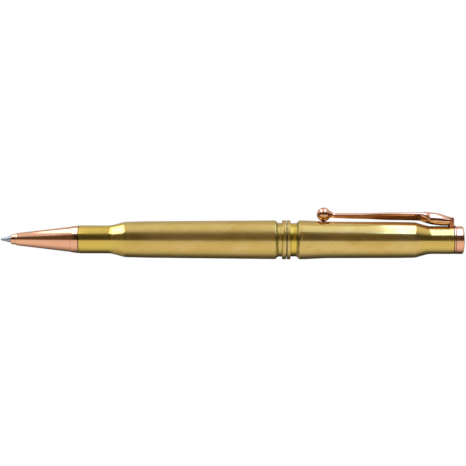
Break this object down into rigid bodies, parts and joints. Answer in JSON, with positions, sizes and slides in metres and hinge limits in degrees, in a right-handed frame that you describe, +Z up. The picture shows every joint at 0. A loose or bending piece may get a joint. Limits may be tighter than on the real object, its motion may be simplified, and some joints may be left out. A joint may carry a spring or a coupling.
{
  "type": "retractable ballpoint pen",
  "caption": "Twist-action ballpoint pen with bottleneck brass cartridge-case barrels joined head to head, copper nib and cap, and a sprung ball-end pocket clip.",
  "frame": {"origin": "on the pen's axis where a writer's fingers hold it, on the neck of the lower cartridge case 29 mm from the tip", "axes": "+X along the pen from the writing tip to the cap, +Z up through the pocket clip, +Y away from the viewer of the pictured side"},
  "size_m": [0.1417, 0.012, 0.016],
  "materials": {
    "cartridge_brass": "satin polished cartridge brass with faint tarnish and fine scratches",
    "copper_plate": "mirror-bright copper plating on brass",
    "liner_brass": "plain drawn brass tube",
    "nickel_plate": "nickel plating on brass",
    "refill_steel": "turned nickel silver",
    "ball_carbide": "polished carbide",
    "black_plastic": "moulded acetal",
    "white_plastic": "moulded acetal",
    "seal_rubber": "matt rubber",
    "ink": "ink paste",
    "grease": "clear grease"
  },
  "bodies": {
    "lower_barrel": {"nib": "copper_plate", "lower_casing": "cartridge_brass", "lower_tube": "liner_brass", "lower_neck_bush": "liner_brass", "mech_sleeve": "liner_brass", "mech_guide": "black_plastic"},
    "twister": {"mech_drive_sleeve": "nickel_plate", "mech_cam": "white_plastic", "mech_friction_ring": "seal_rubber", "mech_end_ring": "nickel_plate"},
    "upper_barrel": {"upper_casing": "cartridge_brass", "upper_tube": "liner_brass", "upper_neck_bush": "liner_brass", "cap": "copper_plate", "clip_ring": "copper_plate"},
    "clip": {"clip_arm": "copper_plate", "clip_ball": "copper_plate"},
    "refill": {"refill_carrier": "liner_brass", "follower_pin": "refill_steel", "refill_tube": "nickel_plate", "refill_point": "refill_steel", "refill_plug": "black_plastic", "refill_ink": "ink", "refill_grease_plug": "grease"},
    "ball": {"writing_ball": "ball_carbide"}
  },
  "joints": [
    {"name": "barrel_twist", "type": "hinge", "parent": "lower_barrel", "child": "twister", "pos_m": [0.0585, 0, 0], "axis": [1, 0, 0], "range_deg": [0, 180]},
    {"name": "barrel_pull", "type": "slide", "parent": "twister", "child": "upper_barrel", "axis": [1, 0, 0], "range_m": [0, 0.03]},
    {"name": "clip_flex", "type": "hinge", "parent": "upper_barrel", "child": "clip", "pos_m": [0.1091, 0, 0.0065], "axis": [0, 1, 0], "range_deg": [0, 5], "stiffness_Nm_per_rad": 3},
    {"name": "refill_slide", "type": "slide", "parent": "lower_barrel", "child": "refill", "axis": [1, 0, 0], "range_m": [0, 0.005]},
    {"name": "ball_roll", "type": "hinge", "parent": "refill", "child": "ball", "pos_m": [-0.0287, 0, 0], "axis": [0, 1, 0], "continuous": true}
  ],
  "couplings": [
    {"joint": "refill_slide", "follows": "barrel_twist", "m_per_rad": 0.0015915}
  ]
}
